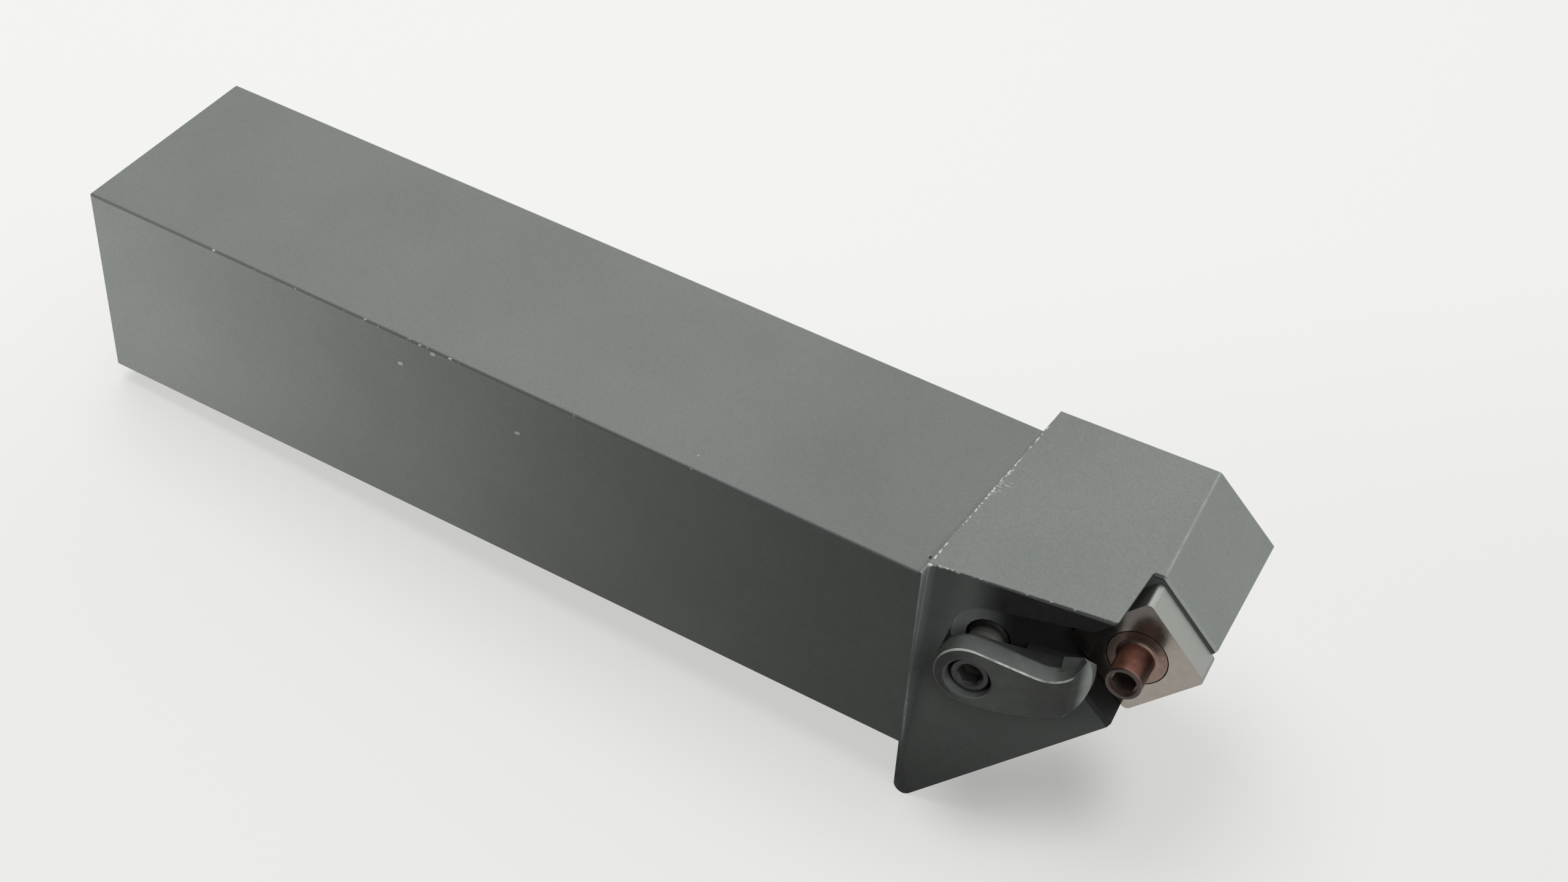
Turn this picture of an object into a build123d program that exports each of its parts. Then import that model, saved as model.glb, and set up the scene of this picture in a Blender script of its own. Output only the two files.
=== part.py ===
from build123d import *
import os
from math import atan2, cos, degrees, hypot, radians, sin, sqrt, tan

# Turning tool holder: square shank, offset head with a 45 degree square pocket, shim, lock pin,
# finger clamp and its double-ended screw. Millimetres. Origin at the centre of the shank's back
# end, +X toward the head, +Z through the top face, -Y through the face that carries the insert.

# Shank
SHANK_SIDE = 32.0
SHANK_LENGTH = 134.3
SHANK_EDGE_RADIUS = 0.45
BACK_END_CHAMFER = 0.35

# Head block
HEAD_RISE = 0.25
HEAD_SIDE_OFFSET = 4.4
HEAD_SIDE_FLARE = 2.86
HEAD_BACK_SKEW = 2.3
HEAD_STOCK_REACH = 44.0
HEAD_STOCK_DROP = 16.0
HEAD_STOCK_MARGIN = 10.0
HEAD_OVERLAP = 3.0
HEAD_LOW_CORNER_RADIUS = 1.4
HEAD_EDGE_RADIUS = 0.3
HEAD_CREASE_RADIUS = 0.8

# The two 45 degree facets: how far ahead of the shank each meets the plane of the shank's top,
# and how far it leans back from the cut
UPPER_FACET_AHEAD = 25.6
UPPER_FACET_LEAN = 3.64
LOWER_FACET_AHEAD = 42.0
LOWER_FACET_LEAN = 1.86

# Chip relief milled into the near side of the head in one pass
RELIEF_SETBACK = 0.3
RELIEF_DEPTH = 2.03
RELIEF_SLOPE = 8.98
RELIEF_DRAFT = 3.13
RELIEF_WALL_LEAN = 0.54
RELIEF_CORNER_RADIUS = 1.2
RELIEF_EDGE_RADIUS = 0.2

# Insert pocket: the pin axis on the seat floor, ahead of the shank, in from its near face and
# down from its top
SEAT_AHEAD = 25.11
SEAT_INSET = 15.01
SEAT_DROP = 9.37
SEAT_RAKE = 8.0
INSERT_SIDE = 12.7
INSERT_THICKNESS = 4.76
UPPER_WALL_CLEARANCE = 1.35
LOCATING_WALL_CLEARANCE = 0.15
LOCATING_WALL_BEVEL = 0.5
SEAT_RIM_BREAK = 0.4

# Shim
SHIM_THICKNESS = 4.76
SHIM_CORNER_RADIUS = 0.8
SHIM_EDGE_CHAMFER = 0.08

# Lock pin
PIN_FLANGE_DIAMETER = 7.9
PIN_NECK_DIAMETER = 4.8
PIN_TIP_ABOVE_SHIM = 5.6
PIN_ROOT_RADIUS = 0.5
PIN_TIP_EDGE = 0.15
PIN_SOCKET_LEAD_DIAMETER = 3.6
PIN_SOCKET_LEAD_DEPTH = 0.7
PIN_THREAD_DIAMETER = 6.0
PIN_THREAD_LENGTH = 9.0
PIN_HOLE_EXTRA_DEPTH = 1.5
SHIM_HOLE_CLEARANCE = 0.15

# Clamp recess, cut with one end mill from the screw round to the pocket
RECESS_WIDTH = 9.8
RECESS_DEPTH = 6.0
RECESS_TURN_U = 8.7
RECESS_TURN_V = -8.9
RECESS_END_U = 21.5
RECESS_END_V = -6.95

# Clamp, on the relief face: u runs along the tool, v runs up the face
SCREW_U = 7.49
SCREW_V = -14.63
CLAMP_HEIGHT = 2.4
CLAMP_HEAD_RADIUS = 4.6
CLAMP_HEAD_V = -14.25
CLAMP_EDGE_START_U = 8.2
CLAMP_WAIST_U = 15.9
CLAMP_WAIST_V = -10.5
CLAMP_SHOULDER_BACK = 1.25
CLAMP_SHOULDER_DROP = 3.0
CLAMP_HOLLOW_BACK = 1.8
CLAMP_HOLLOW_DROP = 1.6
CLAMP_TIP_U = 21.75
CLAMP_TIP_V = -5.3
CLAMP_NOSE_U = 22.55
CLAMP_NOSE_V = -9.6
CLAMP_HEEL_U = 20.14
CLAMP_HEEL_V = -15.45
CLAMP_BELLY_U = 13.4
CLAMP_BELLY_V = -18.15
CLAMP_DRAFT = 6.0
CLAMP_EDGE_CHAMFER = 0.15
CLAMP_PARTING_DROP = 0.4
CLAMP_KEEL_DEPTH = 2.3
CLAMP_KEEL_CLEARANCE = 0.45
CLAMP_KEEL_HEAD_RADIUS = 3.0
CLAMP_UNDERCUT = 0.12
CLAMP_FOOT_START_U = 18.45
CLAMP_FOOT_START_V = -7.78
CLAMP_FOOT_END_U = 20.95
CLAMP_FOOT_END_V = -6.8
CLAMP_FOOT_SLOPE = 20.0
CLAMP_FOOT_RIM_DROP = 0.1
CLAMP_INSERT_CLEARANCE = 0.1
CLAMP_INSERT_MARGIN = 0.5
NOSE_BEVEL_START_U = 20.5
NOSE_BEVEL_ANGLE = 26.0
NOSE_TIP_THICKNESS = 0.4
NOSE_TIP_DIRECTION = 75.0
NOSE_TIP_UNDERCUT = 38.0
CLAMP_HOLE_RIM = 0.3

# Clamp screw
SCREW_DIAMETER = 6.0
SCREW_BELOW_CLAMP_TOP = 0.95
SCREW_DEPTH_IN_BODY = 19.0
SCREW_END_CHAMFER = 0.55
SCREW_NECK_DIAMETER = 4.8
SCREW_NECK_LENGTH = 1.6
SCREW_HOLE_EXTRA_DEPTH = 1.5

# Hex sockets of the pin and the screw, and the running clearance of both in their holes
HEX_ACROSS_FLATS = 3.0
HEX_DEPTH = 3.0
HEX_RIM_CHAMFER = 0.15
THREAD_CLEARANCE = 0.05

HALF_SHANK = SHANK_SIDE / 2
HALF_INSERT = INSERT_SIDE / 2
SCREW_RADIUS = SCREW_DIAMETER / 2
PIN_THREAD_RADIUS = PIN_THREAD_DIAMETER / 2
RECESS_RADIUS = RECESS_WIDTH / 2
BEYOND = 60.0


def facet_plane(ahead, lean, side):
    # side is +1 for the upper facet and -1 for the lower one
    return Plane(
        origin=(SHANK_LENGTH + ahead, 0, HALF_SHANK),
        z_dir=(1, sqrt(2) * tan(radians(lean)), side),
    )


def slot_between(start, end, width):
    run = end[0] - start[0]
    rise = end[1] - start[1]
    with Locations(((start[0] + end[0]) / 2, (start[1] + end[1]) / 2)):
        SlotCenterToCenter(hypot(run, rise), width, rotation=degrees(atan2(rise, run)))


def hex_socket(plane):
    # plane lies on the end face, its normal out of the metal
    with BuildSketch(plane) as socket:
        RegularPolygon(HEX_ACROSS_FLATS / 2, 6, major_radius=False)
    extrude(socket.sketch, amount=-HEX_DEPTH, mode=Mode.SUBTRACT)
    rim_radius = HEX_ACROSS_FLATS / sqrt(3) + HEX_RIM_CHAMFER
    cone_depth = rim_radius - HEX_ACROSS_FLATS / 2
    with BuildSketch(plane) as rim:
        Circle(rim_radius)
    extrude(rim.sketch, amount=-cone_depth, taper=45, mode=Mode.SUBTRACT)


def clamp_outline(head_radius):
    head_top = (CLAMP_EDGE_START_U, CLAMP_HEAD_V + head_radius)
    head_left = (SCREW_U - head_radius, CLAMP_HEAD_V)
    head_foot = (SCREW_U, CLAMP_HEAD_V - head_radius)
    waist = (CLAMP_WAIST_U, CLAMP_WAIST_V)
    tip = (CLAMP_TIP_U, CLAMP_TIP_V)
    shoulder = (tip[0] - CLAMP_SHOULDER_BACK, tip[1] - CLAMP_SHOULDER_DROP)
    hollow = (shoulder[0] - CLAMP_HOLLOW_BACK, shoulder[1] - CLAMP_HOLLOW_DROP)
    heel = (CLAMP_HEEL_U, CLAMP_HEEL_V)
    with BuildLine() as rim:
        ThreePointArc(head_foot, head_left, head_top)
        Line(head_top, waist)
        ThreePointArc(waist, hollow, shoulder)
        Line(shoulder, tip)
        ThreePointArc(tip, (CLAMP_NOSE_U, CLAMP_NOSE_V), heel)
        ThreePointArc(heel, (CLAMP_BELLY_U, CLAMP_BELLY_V), head_foot)
    make_face(rim.line.edges())


def recess_outline(width):
    screw = (SCREW_U, SCREW_V)
    turn = (RECESS_TURN_U, RECESS_TURN_V)
    end = (RECESS_END_U, RECESS_END_V)
    slot_between(screw, turn, width)
    slot_between(turn, end, width)


# Working planes: the seat floor under the shim, and the milled relief face
lean_in = sin(radians(SEAT_RAKE)) / sqrt(2)
SEAT = Plane(
    origin=(SHANK_LENGTH + SEAT_AHEAD, SEAT_INSET - HALF_SHANK, HALF_SHANK - SEAT_DROP),
    x_dir=(1, 0, -1),
    z_dir=(lean_in, -cos(radians(SEAT_RAKE)), lean_in),
)
pass_direction = Vector(tan(radians(RELIEF_WALL_LEAN)), tan(radians(RELIEF_DRAFT)), 1)
relief_top = HALF_SHANK + RELIEF_DEPTH * tan(radians(RELIEF_DRAFT))
RELIEF = Plane(
    origin=(SHANK_LENGTH - RELIEF_SETBACK, -HALF_SHANK, relief_top),
    x_dir=(1, 0, 0),
    z_dir=pass_direction,
)
relief_rise = tan(radians(RELIEF_SLOPE))
relief_run = RELIEF.x_dir + RELIEF.y_dir * relief_rise
face_depth = RELIEF_DEPTH + RELIEF_SETBACK * relief_rise
FACE = Plane(
    origin=RELIEF.from_local_coords((RELIEF_SETBACK, face_depth)),
    x_dir=relief_run,
    z_dir=relief_run.cross(RELIEF.z_dir),
)

# ---------------------------------------------------------------- tool body
with BuildPart() as tool_body:
    # head: stock block trimmed to its back, its far side and the two facets
    head_low = -HALF_SHANK - HEAD_STOCK_DROP
    with BuildSketch(Plane.XY.offset(head_low)):
        with Locations((SHANK_LENGTH - HEAD_OVERLAP, -HALF_SHANK)):
            Rectangle(
                HEAD_STOCK_REACH, SHANK_SIDE + HEAD_STOCK_MARGIN, align=(Align.MIN, Align.MIN)
            )
    extrude(amount=HALF_SHANK + HEAD_RISE - head_low)
    back = Plane(origin=(SHANK_LENGTH, 0, 0), z_dir=(-1, tan(radians(HEAD_BACK_SKEW)), 0))
    far_side = Plane(
        origin=(SHANK_LENGTH, HALF_SHANK + HEAD_SIDE_OFFSET, 0),
        z_dir=(-tan(radians(HEAD_SIDE_FLARE)), 1, 0),
    )
    upper_facet = facet_plane(UPPER_FACET_AHEAD, UPPER_FACET_LEAN, 1)
    lower_facet = facet_plane(LOWER_FACET_AHEAD, LOWER_FACET_LEAN, -1)
    for cut in (back, far_side, upper_facet, lower_facet):
        split(bisect_by=cut, keep=Keep.BOTTOM)
    low_edge = edges().sort_by(Axis.Z)[0]
    fillet(low_edge, HEAD_LOW_CORNER_RADIUS)
    head_top = faces().filter_by(Axis.Z).sort_by(Axis.Z)[-1]
    fillet(head_top.edges().sort_by(Axis.X)[-1], HEAD_CREASE_RADIUS)
    fillet(faces().sort_by(Axis.Y)[-1].edges(), HEAD_EDGE_RADIUS)

    # shank, run a little way into the head
    with BuildSketch(Plane.YZ):
        RectangleRounded(SHANK_SIDE, SHANK_SIDE, SHANK_EDGE_RADIUS)
    extrude(amount=SHANK_LENGTH + HEAD_OVERLAP)
    chamfer(faces().sort_by(Axis.X)[0].edges(), BACK_END_CHAMFER)

    # chip relief: profile across the cut, run the full height of the head
    with BuildSketch(RELIEF):
        with BuildLine():
            Polyline(
                (0, -BEYOND),
                (0, RELIEF_DEPTH),
                (BEYOND, RELIEF_DEPTH + BEYOND * relief_rise),
                (BEYOND, -BEYOND),
                close=True,
            )
        make_face()
        fillet(vertices().group_by(Axis.X)[0].sort_by(Axis.Y)[-1], RELIEF_CORNER_RADIUS)
    extrude(amount=BEYOND, both=True, mode=Mode.SUBTRACT)
    relief_face = faces().filter_by(lambda f: f.normal_at().dot(FACE.z_dir) > 0.9999)[0]
    relief_rims = relief_face.edges().filter_by(GeomType.LINE)
    fillet(relief_rims.sort_by(Axis.Z)[-2:], RELIEF_EDGE_RADIUS)

    # insert pocket, open toward both facets
    wall_e1 = -HALF_INSERT - UPPER_WALL_CLEARANCE
    wall_e2 = -HALF_INSERT - LOCATING_WALL_CLEARANCE
    with BuildSketch(SEAT):
        with Locations((wall_e1, wall_e2)):
            Rectangle(BEYOND, BEYOND, align=(Align.MIN, Align.MIN))
    extrude(amount=BEYOND, mode=Mode.SUBTRACT)

    wall_edge = SEAT.from_local_coords((HALF_INSERT / 2, wall_e2, INSERT_THICKNESS * 2))
    chamfer(edges().sort_by_distance(wall_edge)[0], LOCATING_WALL_BEVEL)
    seat_floor = faces().filter_by(lambda f: f.normal_at().dot(SEAT.z_dir) > 0.9999)[0]
    chamfer(seat_floor.edges().sort_by(Axis.X)[-1], SEAT_RIM_BREAK)

    # clamp recess
    with BuildSketch(FACE.offset(-RECESS_DEPTH)):
        recess_outline(RECESS_WIDTH)
    extrude(amount=BEYOND, mode=Mode.SUBTRACT)

    # screw hole in the recess floor and pin hole in the seat
    with BuildSketch(FACE.offset(-SCREW_DEPTH_IN_BODY - SCREW_HOLE_EXTRA_DEPTH)):
        with Locations((SCREW_U, SCREW_V)):
            Circle(SCREW_RADIUS + THREAD_CLEARANCE)
    extrude(amount=SCREW_DEPTH_IN_BODY, mode=Mode.SUBTRACT)
    with BuildSketch(SEAT):
        Circle(PIN_THREAD_RADIUS + THREAD_CLEARANCE)
    extrude(amount=-PIN_THREAD_LENGTH - PIN_HOLE_EXTRA_DEPTH, mode=Mode.SUBTRACT)

# --------------------------------------------------------------------- shim
with BuildPart() as shim:
    with BuildSketch(SEAT):
        RectangleRounded(INSERT_SIDE, INSERT_SIDE, SHIM_CORNER_RADIUS)
    extrude(amount=SHIM_THICKNESS)
    shim_faces = faces().sort_by(lambda f: (f.center() - SEAT.origin).dot(SEAT.z_dir))
    chamfer(shim_faces[0].edges(), SHIM_EDGE_CHAMFER)
    with BuildSketch(SEAT):
        Circle(PIN_FLANGE_DIAMETER / 2 + SHIM_HOLE_CLEARANCE)
    extrude(amount=SHIM_THICKNESS, mode=Mode.SUBTRACT)

# ----------------------------------------------------------------- lock pin
pin_tip = SHIM_THICKNESS + PIN_TIP_ABOVE_SHIM
PIN_PROFILE = Plane(origin=SEAT.origin, x_dir=SEAT.x_dir, z_dir=SEAT.y_dir * -1)
with BuildPart() as lock_pin:
    neck = PIN_NECK_DIAMETER / 2
    flange = PIN_FLANGE_DIAMETER / 2
    with BuildSketch(PIN_PROFILE):
        with BuildLine():
            Polyline(
                (0, -PIN_THREAD_LENGTH),
                (PIN_THREAD_RADIUS - SCREW_END_CHAMFER, -PIN_THREAD_LENGTH),
                (PIN_THREAD_RADIUS, -PIN_THREAD_LENGTH + SCREW_END_CHAMFER),
                (PIN_THREAD_RADIUS, 0),
                (flange, 0),
                (flange, SHIM_THICKNESS),
                (neck + PIN_ROOT_RADIUS, SHIM_THICKNESS),
            )
            RadiusArc(
                (neck + PIN_ROOT_RADIUS, SHIM_THICKNESS),
                (neck, SHIM_THICKNESS + PIN_ROOT_RADIUS),
                PIN_ROOT_RADIUS,
            )
            Polyline(
                (neck, SHIM_THICKNESS + PIN_ROOT_RADIUS),
                (neck, pin_tip - PIN_TIP_EDGE),
                (neck - PIN_TIP_EDGE, pin_tip),
                (0, pin_tip),
                (0, -PIN_THREAD_LENGTH),
            )
        make_face()
    revolve(axis=Axis(SEAT.origin, SEAT.z_dir))
    hex_socket(SEAT.offset(pin_tip))
    with BuildSketch(SEAT.offset(pin_tip)) as socket_lead:
        Circle(PIN_SOCKET_LEAD_DIAMETER / 2)
    extrude(socket_lead.sketch, amount=-PIN_SOCKET_LEAD_DEPTH, mode=Mode.SUBTRACT)

# -------------------------------------------------------------------- clamp
with BuildPart() as clamp:
    # drafted plate down to the relief face
    with BuildSketch(FACE.offset(CLAMP_HEIGHT)):
        clamp_outline(CLAMP_HEAD_RADIUS)
    extrude(amount=-CLAMP_HEIGHT, taper=-CLAMP_DRAFT)
    plate_top = faces().sort_by(lambda f: f.center().dot(FACE.z_dir))[-1]
    chamfer(plate_top.edges(), CLAMP_EDGE_CHAMFER)
    parting_growth = CLAMP_HEIGHT * tan(radians(CLAMP_DRAFT))

    # flank carried on into the recess, then the keel, set back under the head
    with BuildSketch(FACE.offset(-CLAMP_PARTING_DROP)):
        clamp_outline(CLAMP_HEAD_RADIUS)
        offset(amount=parting_growth)
        with BuildSketch(mode=Mode.PRIVATE) as room:
            recess_outline(RECESS_WIDTH - 2 * CLAMP_KEEL_CLEARANCE)
        add(room.sketch, mode=Mode.INTERSECT)
    extrude(amount=CLAMP_PARTING_DROP)
    with BuildSketch(FACE.offset(-CLAMP_KEEL_DEPTH)):
        clamp_outline(CLAMP_KEEL_HEAD_RADIUS)
        offset(amount=parting_growth - CLAMP_UNDERCUT)
        with BuildSketch(mode=Mode.PRIVATE) as room:
            recess_outline(RECESS_WIDTH - 2 * CLAMP_KEEL_CLEARANCE)
        add(room.sketch, mode=Mode.INTERSECT)
    extrude(amount=CLAMP_KEEL_DEPTH - CLAMP_PARTING_DROP)

    # foot that widens the finger toward its tip, sloping up to the flank
    foot_start = (CLAMP_FOOT_START_U, CLAMP_FOOT_START_V)
    foot_end = (CLAMP_FOOT_END_U, CLAMP_FOOT_END_V)
    with BuildPart(mode=Mode.PRIVATE) as foot:
        with BuildSketch(FACE.offset(-CLAMP_PARTING_DROP)) as foot_base:
            with BuildLine():
                Polyline(
                    foot_start,
                    foot_end,
                    (CLAMP_TIP_U, CLAMP_NOSE_V),
                    (CLAMP_FOOT_START_U, CLAMP_WAIST_V),
                    close=True,
                )
            make_face()
        extrude(foot_base.sketch, amount=CLAMP_HEIGHT)
        foot_plane = FACE.offset(-CLAMP_FOOT_RIM_DROP)
        rim_start = foot_plane.from_local_coords(foot_start)
        rim = (foot_plane.from_local_coords(foot_end) - rim_start).normalized()
        foot_normal = (
            FACE.z_dir * cos(radians(CLAMP_FOOT_SLOPE))
            - rim.cross(FACE.z_dir) * sin(radians(CLAMP_FOOT_SLOPE))
        )
        split(bisect_by=Plane(origin=rim_start, z_dir=foot_normal), keep=Keep.BOTTOM)
    add(foot.part)

    # underside kept clear of the insert, then the bevel over the nose and the undercut tip
    insert_top = SHIM_THICKNESS + INSERT_THICKNESS + CLAMP_INSERT_CLEARANCE
    insert_room = -HALF_INSERT - CLAMP_INSERT_MARGIN
    with BuildSketch(SEAT):
        with Locations((insert_room, insert_room)):
            Rectangle(BEYOND, BEYOND, align=(Align.MIN, Align.MIN))
    extrude(amount=insert_top, mode=Mode.SUBTRACT)
    bevel_line = FACE.offset(CLAMP_HEIGHT).from_local_coords((NOSE_BEVEL_START_U, CLAMP_NOSE_V))
    bevel_normal = (
        FACE.z_dir * cos(radians(NOSE_BEVEL_ANGLE)) + FACE.x_dir * sin(radians(NOSE_BEVEL_ANGLE))
    )
    split(bisect_by=Plane(origin=bevel_line, z_dir=bevel_normal), keep=Keep.BOTTOM)
    tip_low = FACE.offset(CLAMP_HEIGHT - NOSE_TIP_THICKNESS).from_local_coords(
        (CLAMP_TIP_U, CLAMP_TIP_V)
    )
    outward = (
        FACE.x_dir * cos(radians(NOSE_TIP_DIRECTION)) + FACE.y_dir * sin(radians(NOSE_TIP_DIRECTION))
    )
    tip_normal = (
        outward * cos(radians(NOSE_TIP_UNDERCUT)) - FACE.z_dir * sin(radians(NOSE_TIP_UNDERCUT))
    )
    split(bisect_by=Plane(origin=tip_low, z_dir=tip_normal), keep=Keep.BOTTOM)

    # screw hole with a chamfered rim
    with BuildSketch(FACE.offset(-CLAMP_KEEL_DEPTH)):
        with Locations((SCREW_U, SCREW_V)):
            Circle(SCREW_RADIUS + THREAD_CLEARANCE)
    extrude(amount=BEYOND, mode=Mode.SUBTRACT)
    rim_radius = SCREW_RADIUS + THREAD_CLEARANCE + CLAMP_HOLE_RIM
    with BuildSketch(FACE.offset(CLAMP_HEIGHT)):
        with Locations((SCREW_U, SCREW_V)):
            Circle(rim_radius)
    extrude(amount=-CLAMP_HOLE_RIM, taper=45, mode=Mode.SUBTRACT)

# -------------------------------------------------------------- clamp screw
screw_top = CLAMP_HEIGHT - SCREW_BELOW_CLAMP_TOP
screw_centre = FACE.from_local_coords((SCREW_U, SCREW_V))
SCREW_PROFILE = Plane(origin=screw_centre, x_dir=FACE.x_dir, z_dir=FACE.y_dir * -1)
with BuildPart() as clamp_screw:
    neck_low = -RECESS_DEPTH
    neck_high = neck_low + SCREW_NECK_LENGTH
    core = SCREW_NECK_DIAMETER / 2
    with BuildSketch(SCREW_PROFILE):
        with BuildLine():
            Polyline(
                (0, -SCREW_DEPTH_IN_BODY),
                (SCREW_RADIUS - SCREW_END_CHAMFER, -SCREW_DEPTH_IN_BODY),
                (SCREW_RADIUS, -SCREW_DEPTH_IN_BODY + SCREW_END_CHAMFER),
                (SCREW_RADIUS, neck_low - (SCREW_RADIUS - core)),
                (core, neck_low),
                (core, neck_high),
                (SCREW_RADIUS, neck_high + (SCREW_RADIUS - core)),
                (SCREW_RADIUS, screw_top - SCREW_END_CHAMFER),
                (SCREW_RADIUS - SCREW_END_CHAMFER, screw_top),
                (0, screw_top),
                close=True,
            )
        make_face()
    revolve(axis=Axis(screw_centre, FACE.z_dir))
    hex_socket(Plane(origin=screw_centre + FACE.z_dir * screw_top, x_dir=FACE.x_dir, z_dir=FACE.z_dir))
    low_end = screw_centre - FACE.z_dir * SCREW_DEPTH_IN_BODY
    hex_socket(Plane(origin=low_end, x_dir=FACE.x_dir, z_dir=FACE.z_dir * -1))

# ------------------------------------------------------------------- export
os.makedirs("parts", exist_ok=True)
tool_body.part.label = "tool_body"
export_step(tool_body.part, "parts/tool_body.step")
shim.part.label = "shim"
export_step(shim.part, "parts/shim.step")
lock_pin.part.label = "lock_pin"
export_step(lock_pin.part, "parts/lock_pin.step")
clamp.part.label = "clamp"
export_step(clamp.part, "parts/clamp.step")
clamp_screw.part.label = "clamp_screw"
export_step(clamp_screw.part, "parts/clamp_screw.step")
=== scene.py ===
import math

import bmesh
import bpy
from mathutils import Matrix, Vector


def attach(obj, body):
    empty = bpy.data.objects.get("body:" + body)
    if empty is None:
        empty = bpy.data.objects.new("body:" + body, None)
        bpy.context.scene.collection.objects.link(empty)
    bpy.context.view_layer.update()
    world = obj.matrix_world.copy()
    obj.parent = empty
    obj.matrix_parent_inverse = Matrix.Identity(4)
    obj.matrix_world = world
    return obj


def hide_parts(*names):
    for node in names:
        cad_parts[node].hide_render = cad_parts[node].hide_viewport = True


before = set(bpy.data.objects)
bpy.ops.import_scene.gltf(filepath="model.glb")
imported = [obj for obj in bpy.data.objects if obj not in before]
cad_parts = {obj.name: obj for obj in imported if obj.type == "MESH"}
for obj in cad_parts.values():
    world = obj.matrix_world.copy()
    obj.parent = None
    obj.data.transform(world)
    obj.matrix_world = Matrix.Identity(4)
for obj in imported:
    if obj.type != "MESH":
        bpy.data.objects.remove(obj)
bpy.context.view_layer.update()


# ------------------------------------------------------------------ tool body
# Shank and head are one piece of forged and milled alloy steel, hardened, then blackened in a hot
# oxide bath. The black is satin and slightly green, with a fine speckle from the bath, and the
# bare steel shows through where corners have been knocked in the tool rack.

def add_node(tree, kind, **settings):
    node = tree.nodes.new(kind)
    for key, value in settings.items():
        if key.startswith("in_"):
            socket = key[3:]
            node.inputs[int(socket) if socket.isdigit() else socket].default_value = value
        else:
            setattr(node, key, value)
    return node


def join(tree, source, target, socket):
    tree.links.new(source, target.inputs[socket])
    return target


def start_finish(name):
    finish = bpy.data.materials.new(name)
    finish.use_nodes = True
    tree = finish.node_tree
    shader = tree.nodes["Principled BSDF"]
    place = add_node(tree, "ShaderNodeTexCoord").outputs["Object"]
    return finish, tree, shader, place


def grain(tree, place, scale, detail=2.0, stretch=(1, 1, 1), turn=(0, 0, 0), offset=(0, 0, 0)):
    mapping = add_node(tree, "ShaderNodeMapping", in_Scale=stretch, in_Rotation=turn,
                       in_Location=offset)
    join(tree, place, mapping, "Vector")
    noise = add_node(tree, "ShaderNodeTexNoise", in_Scale=scale, in_Detail=detail)
    join(tree, mapping.outputs["Vector"], noise, "Vector")
    return noise.outputs["Fac"]


def rescale(tree, value, low, high, new_low, new_high, smooth=False):
    step = add_node(tree, "ShaderNodeMapRange", clamp=True)
    step.interpolation_type = "SMOOTHSTEP" if smooth else "LINEAR"
    join(tree, value, step, "Value")
    for socket, number in (("From Min", low), ("From Max", high),
                           ("To Min", new_low), ("To Max", new_high)):
        step.inputs[socket].default_value = number
    return step.outputs["Result"]


def combine(tree, a, b, how="MULTIPLY"):
    node = add_node(tree, "ShaderNodeMath", operation=how)
    for index, value in enumerate((a, b)):
        if isinstance(value, (int, float)):
            node.inputs[index].default_value = value
        else:
            tree.links.new(value, node.inputs[index])
    return node.outputs[0]


def tint(tree, base, colour, amount):
    mix = add_node(tree, "ShaderNodeMix", data_type="RGBA")
    tree.links.new(amount, mix.inputs["Factor"])
    for socket, value in ((6, base), (7, colour)):
        if isinstance(value, tuple):
            mix.inputs[socket].default_value = value
        else:
            tree.links.new(value, mix.inputs[socket])
    return mix.outputs[2]


def distance_to_edge(tree, place, start, end):
    # millimetres from the straight edge between two corners, both given in millimetres
    start = Vector(start) / 1000
    edge = Vector(end) / 1000 - start
    from_start = add_node(tree, "ShaderNodeVectorMath", operation="SUBTRACT")
    join(tree, place, from_start, 0)
    from_start.inputs[1].default_value = start
    dot = add_node(tree, "ShaderNodeVectorMath", operation="DOT_PRODUCT")
    join(tree, from_start.outputs[0], dot, 0)
    dot.inputs[1].default_value = edge / edge.length_squared
    share = rescale(tree, dot.outputs["Value"], 0, 1, 0, 1)
    foot = add_node(tree, "ShaderNodeVectorMath", operation="SCALE")
    foot.inputs[0].default_value = edge
    join(tree, share, foot, "Scale")
    away = add_node(tree, "ShaderNodeVectorMath", operation="SUBTRACT")
    join(tree, from_start.outputs[0], away, 0)
    join(tree, foot.outputs[0], away, 1)
    length = add_node(tree, "ShaderNodeVectorMath", operation="LENGTH")
    join(tree, away.outputs[0], length, 0)
    return combine(tree, length.outputs["Value"], 1000)


def worn_edge(tree, place, start, end, width, break_scale, threshold, offset):
    # a mask that is 1 where the blacking has gone along an edge, broken up by a coarse grain
    wander = rescale(tree, grain(tree, place, 1500, 2.0), 0.3, 0.7, -width * 0.7, width * 0.7)
    away = combine(tree, distance_to_edge(tree, place, start, end), wander, "ADD")
    near = rescale(tree, away, width, width * 0.4, 0, 1)
    gaps = grain(tree, place, break_scale, 4.0, offset=(offset, offset, offset))
    shown = rescale(tree, gaps, threshold, threshold + 0.08, 0, 1)
    return combine(tree, near, shown)


def along(tree, place, origin, direction):
    # millimetres from a point, measured along one direction
    dot = add_node(tree, "ShaderNodeVectorMath", operation="DOT_PRODUCT")
    join(tree, place, dot, 0)
    unit = Vector(direction).normalized()
    dot.inputs[1].default_value = unit * 1000
    return combine(tree, dot.outputs["Value"], unit.dot(Vector(origin)), "SUBTRACT")


def facing(tree, direction, low, high):
    # 1 where the surface looks along a direction, from the cosine of the angle between them
    dot = add_node(tree, "ShaderNodeVectorMath", operation="DOT_PRODUCT")
    join(tree, add_node(tree, "ShaderNodeTexCoord").outputs["Normal"], dot, 0)
    dot.inputs[1].default_value = Vector(direction).normalized()
    return rescale(tree, dot.outputs["Value"], low, high, 0, 1)


def band(tree, value, low, high, soft=0.05):
    # 1 between two values, with soft edges
    rising = rescale(tree, value, low - soft, low + soft, 0, 1)
    falling = rescale(tree, value, high - soft, high + soft, 1, 0)
    return combine(tree, rising, falling)


def all_of(tree, *masks):
    result = masks[0]
    for mask in masks[1:]:
        result = combine(tree, result, mask)
    return result


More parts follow.
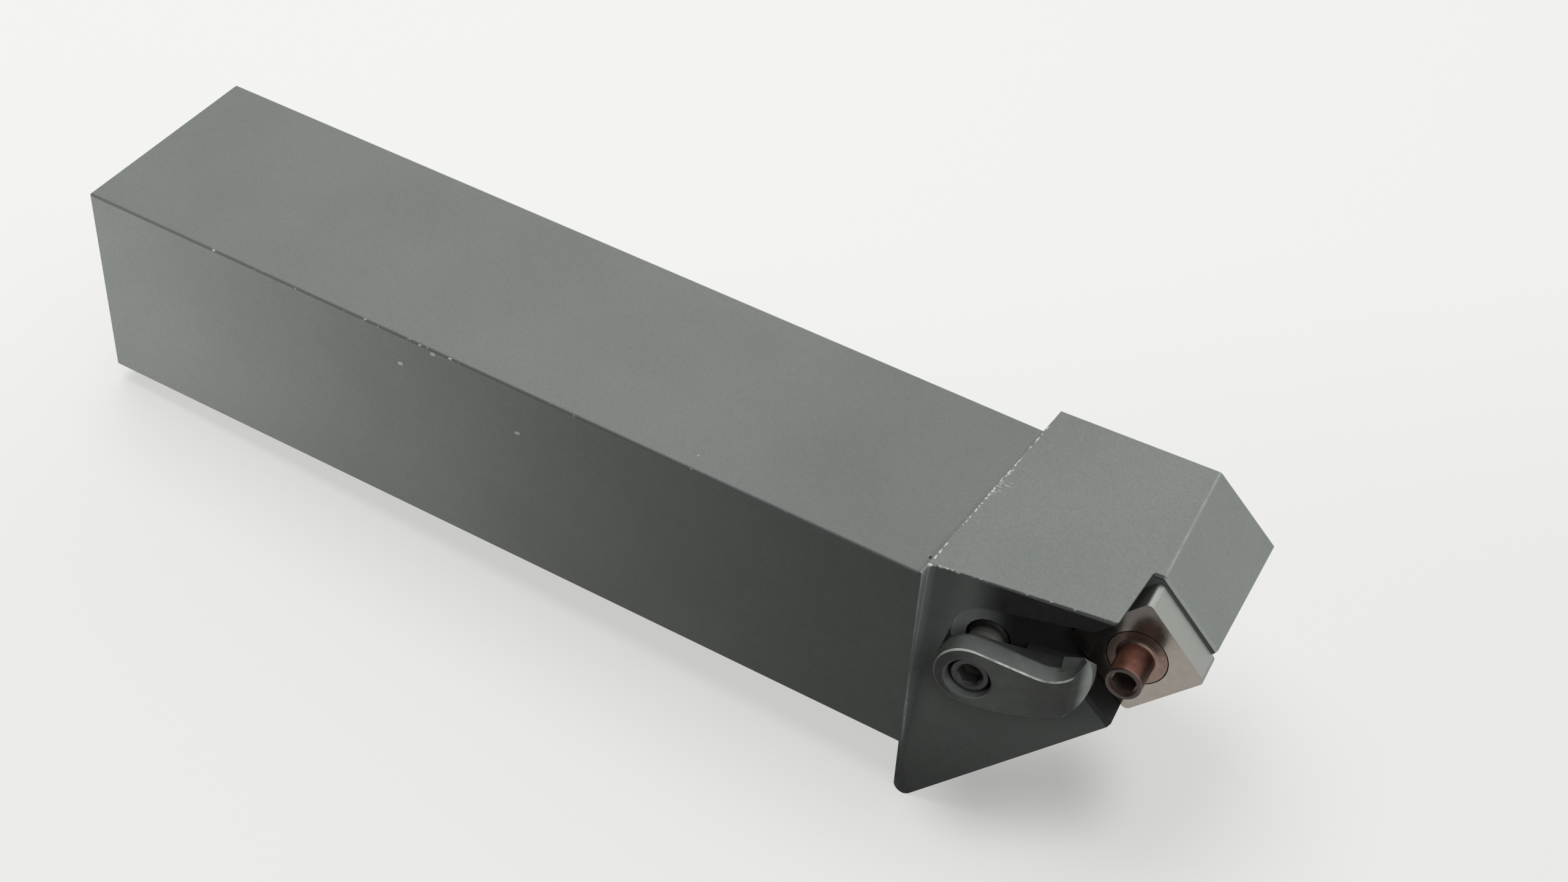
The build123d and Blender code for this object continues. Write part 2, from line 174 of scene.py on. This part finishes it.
def scaled(tree, colour, value):
    node = add_node(tree, "ShaderNodeVectorMath", operation="SCALE")
    if isinstance(colour, tuple):
        node.inputs[0].default_value = colour[:3]
    else:
        tree.links.new(colour, node.inputs[0])
    join(tree, value, node, "Scale")
    return node.outputs[0]


def toned(tree, tone, *places):
    # a tone that is multiplied by each place's gain where that place's mask is 1
    for mask, gain in places:
        step = rescale(tree, mask, 0, 1, 1, gain)
        tone = step if tone is None else combine(tree, tone, step)
    return tone


def dress(node, finish):
    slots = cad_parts[node].data.materials
    slots.clear()
    slots.append(finish)


# the milled relief face: a corner of it, the way along it and up it, and the way out of the metal
FACE_CORNER = (134.3, -13.926, 15.995)
FACE_RUN = (0.9877, 0.1553, -0.0178)
FACE_RISE = (0.0094, 0.0546, 0.9985)
FACE_OUT = (0.1561, -0.9863, 0.0525)
# the pocket's seat: its middle, the way toward the lower and the upper facet, and the way out
SEAT_MIDDLE = (159.41, -0.99, 6.63)
TO_LOWER_FACET = (1, 0, -1)
TO_UPPER_FACET = (0.7, 0.1392, 0.7)
SEAT_OUT = (0.0984, -0.990, 0.0984)
# the clamp's recess: its reach along the face and up it, and just below its floor
RECESS_ALONG = (2.2, 22.5)
RECESS_UP = (-19.8, -1.9)
RECESS_FLOOR = -6.2
# where the shank meets the head, the shank's near side, and the way out of its top fillet
STEP_X = 134
NEAR_SIDE_Y = -16
NEAR_FILLET_OUT = (0.05, -0.72, 0.69)

OXIDE = (0.190, 0.202, 0.193, 1)
OXIDE_DARK = (0.139, 0.150, 0.143, 1)
RUBBED = (0.36, 0.375, 0.36, 1)
BARE_STEEL = (0.62, 0.63, 0.60, 1)
OLD_OIL = (0.008, 0.008, 0.008, 1)

oxide, tree, shader, place = start_finish("oxide_steel")
mottle = rescale(tree, grain(tree, place, 55, 4.0), 0.35, 0.68, 0, 1, smooth=True)
colour = tint(tree, OXIDE, OXIDE_DARK, combine(tree, mottle, 0.22))
tone = rescale(tree, grain(tree, place, 5200, 2.0), 0.33, 0.7, 0.9, 1.1)

# painted shade darkens the band under the head's near top edge and the recess's right part,
# painted light brightens the recess floor's left part and the seat's rim chamfer, and the pocket's
# lower wall is made much darker. The relief face is darker toward its foot; the shank's near side
# is painted a little lighter, with painted shade toward the head and on the near top fillets; the
# shank's top is darker by the head and the head's top lighter
face_u = along(tree, place, FACE_CORNER, FACE_RUN)
face_v = along(tree, place, FACE_CORNER, FACE_RISE)
face_h = along(tree, place, FACE_CORNER, FACE_OUT)
on_relief = combine(tree, band(tree, face_h, -0.12, 0.3), band(tree, face_u, -0.5, 24))
shade_under_edge = all_of(tree, on_relief, rescale(tree, face_u, 4.5, 10.0, 0, 1, smooth=True),
                    band(tree, face_v, -6.0, 0.1, 0.1))
low_relief = combine(tree, on_relief, rescale(tree, face_v, -22, -38, 0, 1))
lit_recess_left = all_of(tree, band(tree, face_h, RECESS_FLOOR, RECESS_FLOOR + 0.6),
                     band(tree, face_u, *RECESS_ALONG), band(tree, face_v, *RECESS_UP),
                     rescale(tree, face_u, 9.5, 5.0, 0, 1))
shaded_recess_right = all_of(tree, band(tree, face_h, RECESS_FLOOR, -0.16),
                      band(tree, face_v, *RECESS_UP), rescale(tree, face_u, 7.0, 10.5, 0, 1),
                      rescale(tree, face_u, 22.5, 21.5, 0, 1))
seat_e1 = along(tree, place, SEAT_MIDDLE, TO_LOWER_FACET)
seat_e2 = along(tree, place, SEAT_MIDDLE, TO_UPPER_FACET)
seat_h = along(tree, place, SEAT_MIDDLE, SEAT_OUT)
lower_wall = all_of(tree, band(tree, seat_h, -0.1, 20), band(tree, seat_e1, -7.8, 12),
                    band(tree, seat_e2, -7.1, 12), facing(tree, TO_UPPER_FACET, 0.3, 0.5))
lit_seat_rim = combine(tree, facing(tree, TO_UPPER_FACET, 0.5, 0.6),
                   facing(tree, SEAT_OUT, 0.5, 0.6))
from_back = along(tree, place, (0, 0, 0), (1, 0, 0))
near_depth = along(tree, place, (0, NEAR_SIDE_Y, 0), (0, -1, 0))
near_side = combine(tree, facing(tree, (0, -1, 0), 0.9, 0.97),
                    rescale(tree, near_depth, -0.3, -0.1, 0, 1))
shaded_toward_head = combine(tree, near_side, rescale(tree, from_back, 60, STEP_X, 0, 1))
shaded_near_fillets = facing(tree, NEAR_FILLET_OUT, 0.84, 0.93)
looks_up = facing(tree, (0, 0, 1), 0.9, 0.95)
shank_by_head = combine(tree, looks_up, band(tree, from_back, 112, STEP_X, 20))
head_top = combine(tree, looks_up, rescale(tree, from_back, STEP_X - 0.1, STEP_X + 0.4, 0, 1))
# the gains below paint the light and shade listed above into the oxide's tone
tone = toned(tree, tone, (on_relief, 0.97), (shade_under_edge, 0.08), (low_relief, 0.5),
             (lit_recess_left, 4.6), (shaded_recess_right, 0.45), (lower_wall, 0.08), (lit_seat_rim, 2.3),
             (near_side, 1.08), (shaded_toward_head, 0.72), (shaded_near_fillets, 0.6),
             (shank_by_head, 0.84), (head_top, 1.1))
colour = scaled(tree, colour, tone)

# edges rubbed to a thin grey line: the near corner of the step and the crease of the upper facet
rubbed = None
for start, end, width, strength in (
    ((134.1, -15.9, 16.1), (133.9, -15.7, -15.6), 0.28, 0.8),
    ((159.6, -0.4, 16.25), (157.6, 21.2, 16.25), 0.2, 0.4),
):
    line = rescale(tree, distance_to_edge(tree, place, start, end), width, width * 0.4, 0, strength)
    rubbed = line if rubbed is None else combine(tree, rubbed, line, "MAXIMUM")
rubbed = combine(tree, rubbed, rescale(tree, grain(tree, place, 420, 3.0), 0.3, 0.62, 0.25, 1))
colour = tint(tree, colour, RUBBED, rubbed)

# edges where the bare steel shows in broken dots
worn = None
for start, end, width, scale, threshold, offset in (
    ((134.0, -15.0, 16.25), (135.2, 20.2, 16.25), 0.13, 1300, 0.50, 0.0),
    ((134.4, 1.0, 16.25), (134.8, 8.5, 16.25), 0.3, 1500, 0.56, 0.2),
    ((133.7, -7.5, 16.25), (134.1, -3.5, 16.25), 0.3, 1500, 0.57, 0.4),
    ((134.1, -15.9, 16.1), (133.9, -15.7, -15.6), 0.15, 1200, 0.56, 0.3),
    ((134.2, -14.1, 16.25), (137.0, -13.5, 16.25), 0.22, 900, 0.36, 0.5),
    ((137.0, -13.5, 16.25), (158.5, -10.1, 16.25), 0.2, 1300, 0.56, 0.7),
    ((20.0, -15.9, 15.9), (64.0, -15.9, 15.9), 0.2, 1000, 0.60, 1.1),
    ((64.0, -15.9, 15.9), (133.0, -15.9, 15.9), 0.12, 1000, 0.66, 1.4),
    ((133.6, 16.2, 16.25), (135.2, 20.2, 16.25), 0.16, 900, 0.50, 1.7),
):
    line = worn_edge(tree, place, start, end, width, scale, threshold, offset)
    worn = line if worn is None else combine(tree, worn, line, "MAXIMUM")
specks = add_node(tree, "ShaderNodeTexVoronoi", in_Scale=210.0)
join(tree, place, specks, "Vector")
speck_pick = add_node(tree, "ShaderNodeSeparateColor")
join(tree, specks.outputs["Color"], speck_pick, 0)
dots = combine(tree, rescale(tree, specks.outputs["Distance"], 0.045, 0.02, 0, 1),
               rescale(tree, speck_pick.outputs[0], 0.95, 0.96, 0, 0.55))
# three knocks on the shank's near side
for x, z in ((54.0, 10.9), (73.1, 8.0), (59.6, 15.3)):
    from_knock = distance_to_edge(tree, place, (x, NEAR_SIDE_Y, z),
                                  (x + 0.3, NEAR_SIDE_Y, z + 0.1))
    dots = combine(tree, dots, rescale(tree, from_knock, 0.32, 0.2, 0, 0.8), "MAXIMUM")
# a scuff across the step of the head, and a spot of old oil before its corner
from_scuff = distance_to_edge(tree, place, (134.4, 1.9, 16.25), (135.4, 3.6, 16.25))
scuff_lines = grain(tree, place, 2600, 2.0, stretch=(0.35, 1.0, 1.0), turn=(0, 0, 0.5))
scuff = combine(tree, rescale(tree, from_scuff, 1.3, 0.3, 0, 1),
                rescale(tree, scuff_lines, 0.57, 0.63, 0, 0.4))
bare = combine(tree, combine(tree, worn, dots, "MAXIMUM"), scuff, "MAXIMUM")
from_spot = distance_to_edge(tree, place, (133.55, -12.8, 16.0), (133.56, -12.8, 16.0))
colour = tint(tree, colour, OLD_OIL, rescale(tree, from_spot, 0.3, 0.22, 0, 0.9))
colour = tint(tree, colour, BARE_STEEL, combine(tree, bare, 0.85))
join(tree, colour, shader, "Base Color")
join(tree, rescale(tree, grain(tree, place, 900, 3.0), 0.3, 0.7, 0.5, 0.66), shader, "Roughness")
shader.inputs["Specular IOR Level"].default_value = 0.12
bump = add_node(tree, "ShaderNodeBump", in_Strength=0.25, in_Distance=0.00004)
join(tree, grain(tree, place, 1800, 3.0), bump, "Height")
join(tree, bump.outputs["Normal"], shader, "Normal")
dress("tool_body", oxide)


# ----------------------------------------------------------------------- shim
# The shim is a plate of sintered carbide, ground on both faces and round its sides, so it is
# brighter than the steel, with faint grinding lines. It sits in the pocket under the pin's flange.
CARBIDE = (0.40, 0.36, 0.325, 1)
CARBIDE_SIDE = (0.235, 0.242, 0.228, 1)

carbide, tree, shader, place = start_finish("ground_carbide")
lines = grain(tree, place, 900, 3.0, stretch=(1.0, 0.06, 1.0), turn=(0, 0.785, 0))
tone = rescale(tree, lines, 0.3, 0.7, 0.95, 1.05)
sides = facing(tree, SEAT_OUT, 0.9, 0.6)
# painted shade over the part of the shim's face that lies away from the lower facet
along_seat = along(tree, place, SEAT_MIDDLE, TO_LOWER_FACET)
shade_by_wall = combine(tree, rescale(tree, along_seat, 2.5, -6.0, 0, 1, smooth=True),
                    rescale(tree, sides, 0, 1, 1, 0))
tone = toned(tree, tone, (sides, 0.55), (shade_by_wall, 0.4))
colour = tint(tree, scaled(tree, CARBIDE, tone), CARBIDE_SIDE, combine(tree, sides, 0.85))
join(tree, colour, shader, "Base Color")
shader.inputs["Metallic"].default_value = 0.85
matt = combine(tree, rescale(tree, grain(tree, place, 1500, 2.0), 0.3, 0.7, 0.15, 0.24),
               combine(tree, sides, 0.16), "ADD")
join(tree, matt, shader, "Roughness")
dress("shim", carbide)


# ------------------------------------------------------------------- lock pin
# The lock pin is turned from alloy steel and heat treated, which leaves it copper brown. Its
# flange holds the shim down, its free end takes a hex key and the hole of an insert.
COPPERED = (0.40, 0.17, 0.12, 1)
COPPERED_DARK = (0.17, 0.075, 0.055, 1)
FLANGE_BROWN = (0.36, 0.27, 0.23, 1)
TIP_GREY = (0.095, 0.076, 0.069, 1)
NECK_SHADE = (0.035, 0.013, 0.008, 1)
SOCKET_DARK = (0.26, 0.21, 0.19, 1)
# heights above the seat: the flange's top and the pin's end, and the side that the neck turns
# away from the light, where painted shade darkens it
FLANGE_TOP = (5.3, 4.9)
PIN_END = 10.25
NECK_SHADED_SIDE = (0.95, 0.1, 0.3)

coppered, tree, shader, place = start_finish("coppered_steel")
patch = rescale(tree, grain(tree, place, 320, 3.0), 0.35, 0.65, 0, 1, smooth=True)
colour = tint(tree, COPPERED, COPPERED_DARK, combine(tree, patch, 0.6))
up_pin = along(tree, place, SEAT_MIDDLE, SEAT_OUT)
across_pin = along(tree, place, SEAT_MIDDLE, TO_LOWER_FACET)
on_flange = rescale(tree, up_pin, *FLANGE_TOP, 0, 1)
colour = tint(tree, colour, FLANGE_BROWN, rescale(tree, up_pin, *FLANGE_TOP, 0, 0.85))
# painted shade over the flange's side that lies away from the lower facet
flange_shade = combine(tree, on_flange, rescale(tree, across_pin, 2.0, -3.5, 0, 1))
colour = scaled(tree, colour, toned(tree, None, (flange_shade, 0.42)))
colour = tint(tree, colour, TIP_GREY, rescale(tree, up_pin, 9.9, PIN_END, 0, 1))
# painted shade on the neck's side that is turned away from the light
neck = combine(tree, facing(tree, NECK_SHADED_SIDE, 0.2, 0.95), band(tree, up_pin, 5.2, 10.0, 0.2))
colour = tint(tree, colour, NECK_SHADE, neck)
above_pin = [low + 12 * out for low, out in zip(SEAT_MIDDLE, SEAT_OUT)]
from_axis = distance_to_edge(tree, place, SEAT_MIDDLE, above_pin)
in_socket = combine(tree, rescale(tree, from_axis, 1.85, 1.75, 0, 1),
                    band(tree, up_pin, 5.0, PIN_END))
colour = tint(tree, colour, SOCKET_DARK, in_socket)
join(tree, colour, shader, "Base Color")
shader.inputs["Metallic"].default_value = 0.7
join(tree, rescale(tree, grain(tree, place, 1400, 2.0), 0.3, 0.7, 0.28, 0.5), shader, "Roughness")
dress("lock_pin", coppered)

# the thread's crest and core radius and its pitch, its points in each turn, how far in from its
# ends the ridge stops, in pitches, and the angle from which an edge stays sharp
THREAD_CREST = 3.0
THREAD_CORE = 2.46
THREAD_PITCH = 1.0
THREAD_STEPS = 48
THREAD_RUN_OUT = 0.62
SHARP_FROM = math.radians(28)
# in metres, within which corners are merged, and within which a point lies on a threaded length
MERGE_WITHIN = 1e-7
TOUCH = 1e-6


def thread_tree():
    # one rolled thread: a ridge of diamond section swept along a spiral that climbs its own z axis
    tree = bpy.data.node_groups.new("rolled_thread", "GeometryNodeTree")
    sockets = {}
    for name, kind, value in (("Crest Radius", "NodeSocketFloat", THREAD_CREST / 1000),
                              ("Core Radius", "NodeSocketFloat", THREAD_CORE / 1000),
                              ("Ridge Width", "NodeSocketFloat", THREAD_PITCH / 1000),
                              ("Turns", "NodeSocketFloat", 5.0),
                              ("Length", "NodeSocketFloat", 0.005),
                              ("Left Hand", "NodeSocketBool", False),
                              ("Finish", "NodeSocketMaterial", None)):
        item = tree.interface.new_socket(name=name, in_out="INPUT", socket_type=kind)
        if value is not None:
            item.default_value = value
        sockets[name] = item.identifier
    tree.interface.new_socket(name="Geometry", in_out="OUTPUT", socket_type="NodeSocketGeometry")
    given = add_node(tree, "NodeGroupInput").outputs
    spiral = add_node(tree, "GeometryNodeCurveSpiral", in_Resolution=THREAD_STEPS)
    join(tree, given["Turns"], spiral, "Rotations")
    join(tree, given["Core Radius"], spiral, "Start Radius")
    join(tree, given["Core Radius"], spiral, "End Radius")
    join(tree, given["Length"], spiral, "Height")
    join(tree, given["Left Hand"], spiral, "Reverse")
    upright = add_node(tree, "GeometryNodeSetCurveNormal", mode="Z_UP")
    join(tree, spiral.outputs["Curve"], upright, "Curve")
    height = combine(tree, given["Crest Radius"], given["Core Radius"], "SUBTRACT")
    section = add_node(tree, "GeometryNodeCurvePrimitiveQuadrilateral", mode="KITE")
    join(tree, given["Ridge Width"], section, "Width")
    for socket in ("Bottom Height", "Top Height"):
        join(tree, height, section, socket)
    ridge = add_node(tree, "GeometryNodeCurveToMesh")
    join(tree, upright.outputs["Curve"], ridge, "Curve")
    join(tree, section.outputs["Curve"], ridge, "Profile Curve")
    ridge.inputs["Fill Caps"].default_value = True
    real = add_node(tree, "GeometryNodeRealizeInstances")
    join(tree, ridge.outputs["Mesh"], real, "Geometry")
    coat = add_node(tree, "GeometryNodeSetMaterial")
    join(tree, real.outputs["Geometry"], coat, "Geometry")
    join(tree, given["Finish"], coat, "Material")
    join(tree, coat.outputs["Geometry"], add_node(tree, "NodeGroupOutput"), "Geometry")
    return tree, sockets


def threaded(node, body, finish, middle, out, spans):
    # the node's own shape with each threaded length turned down to the core and given its thread;
    # heights are in millimetres from the middle, along the axis that points out of the metal
    middle = Vector(middle) / 1000
    out = Vector(out).normalized()
    shape = bmesh.new()
    shape.from_mesh(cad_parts[node].data)
    bmesh.ops.remove_doubles(shape, verts=shape.verts, dist=MERGE_WITHIN)
    for vertex in shape.verts:
        height = (vertex.co - middle).dot(out)
        radial = vertex.co - middle - out * height
        inside = any(low / 1000 - TOUCH <= height <= high / 1000 + TOUCH
                     for low, high, left in spans)
        if inside and radial.length > THREAD_CORE / 1000:
            vertex.co = middle + out * height + radial.normalized() * (THREAD_CORE / 1000)
    bmesh.ops.dissolve_degenerate(shape, dist=TOUCH, edges=shape.edges)
    bmesh.ops.recalc_face_normals(shape, faces=shape.faces)
    tree, sockets = thread_tree()
    stand = out.to_track_quat("Z", "X").to_matrix().to_4x4()
    for low, high, left in spans:
        start = low + THREAD_PITCH * THREAD_RUN_OUT
        length = high - THREAD_PITCH * THREAD_RUN_OUT - start
        holder = bpy.data.objects.new("thread_stock", bpy.data.meshes.new("thread_stock"))
        bpy.context.scene.collection.objects.link(holder)
        cut = holder.modifiers.new("thread", "NODES")
        cut.node_group = tree
        cut[sockets["Turns"]] = length / THREAD_PITCH
        cut[sockets["Length"]] = length / 1000
        cut[sockets["Left Hand"]] = left
        cut[sockets["Finish"]] = finish
        ready = holder.evaluated_get(bpy.context.evaluated_depsgraph_get())
        ridge = bpy.data.meshes.new_from_object(ready)
        ridge.transform(Matrix.Translation(middle + out * (start / 1000)) @ stand)
        bpy.data.objects.remove(holder)
        one = bmesh.new()
        one.from_mesh(ridge)
        bmesh.ops.recalc_face_normals(one, faces=one.faces)
        one.to_mesh(ridge)
        one.free()
        shape.from_mesh(ridge)
    for face in shape.faces:
        face.smooth = True
    for edge in shape.edges:
        edge.smooth = edge.calc_face_angle(0) < SHARP_FROM
    mesh = bpy.data.meshes.new(node + "_threaded")
    shape.to_mesh(mesh)
    shape.free()
    mesh.materials.append(finish)
    piece = bpy.data.objects.new(node + "_threaded", mesh)
    bpy.context.scene.collection.objects.link(piece)
    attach(piece, body)
    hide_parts(node)


threaded("lock_pin", "lock_pin", coppered, SEAT_MIDDLE, SEAT_OUT,
         ((-9.0, -0.2, False),))


# ---------------------------------------------------------------------- clamp
# The finger clamp is a small drop forging, trimmed, drilled, tapped and blackened. Its skin is
# rougher than the milled body, and the arris round its top carries a painted highlight.
FORGED = (0.118, 0.125, 0.119, 1)
FORGED_LIGHT = (0.2, 0.21, 0.2, 1)
ARRIS_HIGHLIGHT = (0.85, 0.88, 0.84, 1)
NOSE_BEVEL_OUT = (0.5733, -0.8182, 0.0394)
# the screw's axis, from below the relief face to above the clamp
AXIS_LOW, AXIS_HIGH = (140.0, -3.7, 0.73), (142.34, -18.49, 1.52)

forged, tree, shader, place = start_finish("forged_steel")
skin = rescale(tree, grain(tree, place, 480, 5.0), 0.36, 0.7, 0, 1, smooth=True)
colour = tint(tree, FORGED, FORGED_LIGHT, combine(tree, skin, 0.25))
face_u = along(tree, place, FACE_CORNER, FACE_RUN)
face_v = along(tree, place, FACE_CORNER, FACE_RISE)
face_h = along(tree, place, FACE_CORNER, FACE_OUT)
# painted light on the flank, more on its right part; painted shade on the keel, the top's left and
# right parts and the left end; painted shading across the nose bevel, dark at its left and a
# painted highlight toward its right end
up_side = facing(tree, FACE_RISE, 0.3, 0.6)
lit_flank = combine(tree, up_side, band(tree, face_h, -0.2, 2.2))
lit_flank_right = combine(tree, lit_flank, rescale(tree, face_u, 12, 19, 0, 1))
shaded_keel = all_of(tree, rescale(tree, face_h, 0.0, -0.3, 0, 1), rescale(tree, face_u, 10, 13, 0, 1),
              rescale(tree, face_u, 21, 19, 0, 1))
bevel = facing(tree, NOSE_BEVEL_OUT, 0.985, 0.995)
lit_bevel_end = combine(tree, bevel, rescale(tree, face_u, 21.0, 22.4, 0, 1, smooth=True))
on_top = combine(tree, facing(tree, FACE_OUT, 0.97, 0.99), band(tree, face_h, 2.3, 2.5))
shaded_top_right = combine(tree, on_top, rescale(tree, face_u, 13, 20, 0, 1))
shaded_top_left = combine(tree, on_top, rescale(tree, face_u, 8.5, 4.5, 0, 1))
shaded_left_end = facing(tree, -Vector(FACE_RUN), 0.3, 0.8)
tone = toned(tree, None, (lit_flank, 1.45), (lit_flank_right, 1.25), (shaded_keel, 0.5), (bevel, 0.6),
             (lit_bevel_end, 7.0), (shaded_top_right, 0.62), (shaded_top_left, 0.3), (shaded_left_end, 0.4))
colour = scaled(tree, colour, tone)
# painted highlight along the arris round the clamp's top, kept off the hole and the nose bevel
off_hole = rescale(tree, distance_to_edge(tree, place, AXIS_LOW, AXIS_HIGH), 3.75, 3.95, 0, 1)
arris = all_of(tree, band(tree, face_h, 2.19, 2.42, 0.03), rescale(tree, up_side, 0, 1, 0.15, 1),
               facing(tree, FACE_OUT, 0.97, 0.9), off_hole, rescale(tree, bevel, 0, 1, 1, 0),
               rescale(tree, grain(tree, place, 600, 3.0), 0.3, 0.6, 0.3, 1))
colour = tint(tree, colour, ARRIS_HIGHLIGHT, arris)
join(tree, colour, shader, "Base Color")
join(tree, rescale(tree, grain(tree, place, 1200, 2.0), 0.3, 0.7, 0.42, 0.6), shader, "Roughness")
shader.inputs["Specular IOR Level"].default_value = 0.25
bump = add_node(tree, "ShaderNodeBump", in_Strength=0.5, in_Distance=0.00008)
join(tree, grain(tree, place, 1100, 4.0), bump, "Height")
join(tree, bump.outputs["Normal"], shader, "Normal")
dress("clamp", forged)


# ---------------------------------------------------------------- clamp screw
# The double-ended screw is cold headed, thread rolled and blackened like the clamp. Its upper end
# shows down the clamp's hole with a hex socket for the key.
SCREW_BLACK = (0.045, 0.047, 0.046, 1)
SCREW_NECK = (0.3, 0.29, 0.27, 1)
SCREW_AXIS_AT_FACE = (141.56018, -13.56107, 1.25388)

screw_black, tree, shader, place = start_finish("screw_black")
grime = rescale(tree, grain(tree, place, 900, 3.0), 0.35, 0.7, 0, 1)
colour = tint(tree, SCREW_BLACK, FORGED_LIGHT, combine(tree, grime, 0.3))
screw_h = along(tree, place, FACE_CORNER, FACE_OUT)
colour = tint(tree, colour, SCREW_NECK, band(tree, screw_h, -5.2, -0.6, 0.3))
join(tree, colour, shader, "Base Color")
shader.inputs["Roughness"].default_value = 0.45
dress("clamp_screw", screw_black)
threaded("clamp_screw", "clamp_screw", screw_black, SCREW_AXIS_AT_FACE, FACE_OUT,
         ((-19.0, -6.6, False), (-3.8, 1.45, True)))


# -------------------------------------------------------------- table and light
# A plain off-white table under the tool, which stands on the low corner and the far low edge of
# its head and on the far corner of its back end. A wide soft lamp hangs behind and above the tool
# and a small one fills from its left, and the table has a lamp of its own.
TABLE = (0.083, 0.0835, 0.081, 1)
TABLE_GLOW = (0.62, 0.623, 0.606, 1)
# the little light that the table sends back to the tool
TABLE_RETURN = (0.014, 0.014, 0.0137, 1)
TABLE_HALF = 3.0
# the way to the bright part of the sky, its darkest and brightest light, and what shows behind
# the table
TO_BRIGHT_SKY = (0.46, 0.52, 0.72)
SKY_LIGHT = (0.02, 1.9)
BACKDROP = 0.86
stand = Vector((0.35, 15.59, -16.0)) / 1000
table_up = Vector((0.04891, -0.08762, 0.99495))
across = Vector((1, 0, 0)) - table_up * table_up.x
across.normalize()
away = table_up.cross(across)
corners = [stand + (across * x + away * y) * TABLE_HALF
           for x, y in ((-1, -1), (1, -1), (1, 1), (-1, 1))]
table_mesh = bpy.data.meshes.new("table_top")
table_mesh.from_pydata([tuple(c) for c in corners], [], [(0, 1, 2, 3)])
table = bpy.data.objects.new("table_top", table_mesh)
bpy.context.scene.collection.objects.link(table)
paper, tree, shader, place = start_finish("table_paper")
shader.inputs["Roughness"].default_value = 0.7
shader.inputs["Specular IOR Level"].default_value = 0.2
path = add_node(tree, "ShaderNodeLightPath")
seen = combine(tree, path.outputs["Is Camera Ray"], path.outputs["Is Glossy Ray"], "MAXIMUM")
seen = combine(tree, seen, path.outputs["Is Transmission Ray"], "MAXIMUM")
# painted shadow makes the table a little darker under the head's low corner, and painted shade
# darkens it toward the near edge
from_corner = distance_to_edge(tree, place, (143, -8.5, -25.1), (151, -3, -25.0))
shadow_under_corner = rescale(tree, from_corner, 13, 0, 0, 0.32, smooth=True)
to_near_edge = along(tree, place, (0, 0, 0), (0.559, -0.829, 0))
seen = all_of(tree, seen, combine(tree, 1.0, shadow_under_corner, "SUBTRACT"),
              rescale(tree, to_near_edge, -20, 60, 0.99, 0.935, smooth=True))
join(tree, tint(tree, TABLE_RETURN, TABLE, seen), shader, "Base Color")
shader.inputs["Emission Color"].default_value = TABLE_GLOW
join(tree, seen, shader, "Emission Strength")
table_mesh.materials.append(paper)

world = bpy.data.worlds.new("studio")
bpy.context.scene.world = world
world.use_nodes = True
tree = world.node_tree
sky = tree.nodes["Background"]
sky.inputs["Color"].default_value = (0.98, 1.0, 0.99, 1)
toward = add_node(tree, "ShaderNodeTexCoord").outputs["Generated"]
lean = add_node(tree, "ShaderNodeVectorMath", operation="DOT_PRODUCT")
join(tree, toward, lean, 0)
lean.inputs[1].default_value = Vector(TO_BRIGHT_SKY).normalized()
daylight = rescale(tree, lean.outputs["Value"], 0.03, 0.97, *SKY_LIGHT, smooth=True)
path = add_node(tree, "ShaderNodeLightPath")
backdrop = combine(tree, path.outputs["Is Camera Ray"], path.outputs["Is Transmission Ray"],
                   "MAXIMUM")
daylight = combine(tree, daylight, combine(tree, 1.0, backdrop, "SUBTRACT"))
join(tree, combine(tree, combine(tree, backdrop, BACKDROP), daylight, "ADD"), sky, "Strength")


def soft_lamp(name, place_mm, aim_mm, size_mm, watts, colour=(1, 1, 1)):
    light = bpy.data.lights.new(name, "AREA")
    light.shape = "RECTANGLE"
    light.size = size_mm[0] / 1000
    light.size_y = size_mm[1] / 1000
    light.energy = watts
    light.color = colour
    lamp = bpy.data.objects.new(name, light)
    lamp.location = Vector(place_mm) / 1000
    aim = (Vector(aim_mm) - Vector(place_mm)).normalized()
    lamp.rotation_euler = aim.to_track_quat("-Z", "Y").to_euler()
    bpy.context.scene.collection.objects.link(lamp)
    return lamp


def only_on(lamp, name, things):
    group = bpy.data.collections.new(name)
    for thing in things:
        group.objects.link(thing)
    lamp.light_linking.receiver_collection = group


soft_lamp("back_lamp", (-300, 750, 1100), (80, 0, 0), (1000, 1000), 3, (1.0, 1.0, 0.985))
left_fill = soft_lamp("left_fill", (-16, -96, -2), (10, -16, -2), (70, 70), 0.1, (1.0, 1.0, 0.97))
only_on(left_fill, "lit_from_the_left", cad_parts.values())
table_lamp = soft_lamp("table_lamp", (-150, 40, 900), (100, 0, -20), (650, 650), 19)
only_on(table_lamp, "lit_from_above", [table])


# --------------------------------------------------------------------- camera
# The camera looks down on the near side from beyond the head, through a lens a little longer
# than normal on a 36 mm wide frame.
right = Vector((0.85669192, 0.51343001, 0.04968476))
down = Vector((0.38273719, -0.56812274, -0.72852508))
forward = Vector((-0.3458196, 0.64313776, -0.68321493))
eye = Vector((224.447, -222.212, 246.871)) / 1000
lens = bpy.data.cameras.new("camera")
lens.sensor_width = 36.0
lens.lens = 60.05
lens.clip_start = 0.01
lens.clip_end = 20.0
camera = bpy.data.objects.new("camera", lens)
turn = Matrix((right, -down, -forward)).transposed()
camera.matrix_world = Matrix.Translation(eye) @ turn.to_4x4()
bpy.context.scene.collection.objects.link(camera)
bpy.context.scene.camera = camera

bpy.context.scene.view_settings.view_transform = "Standard"
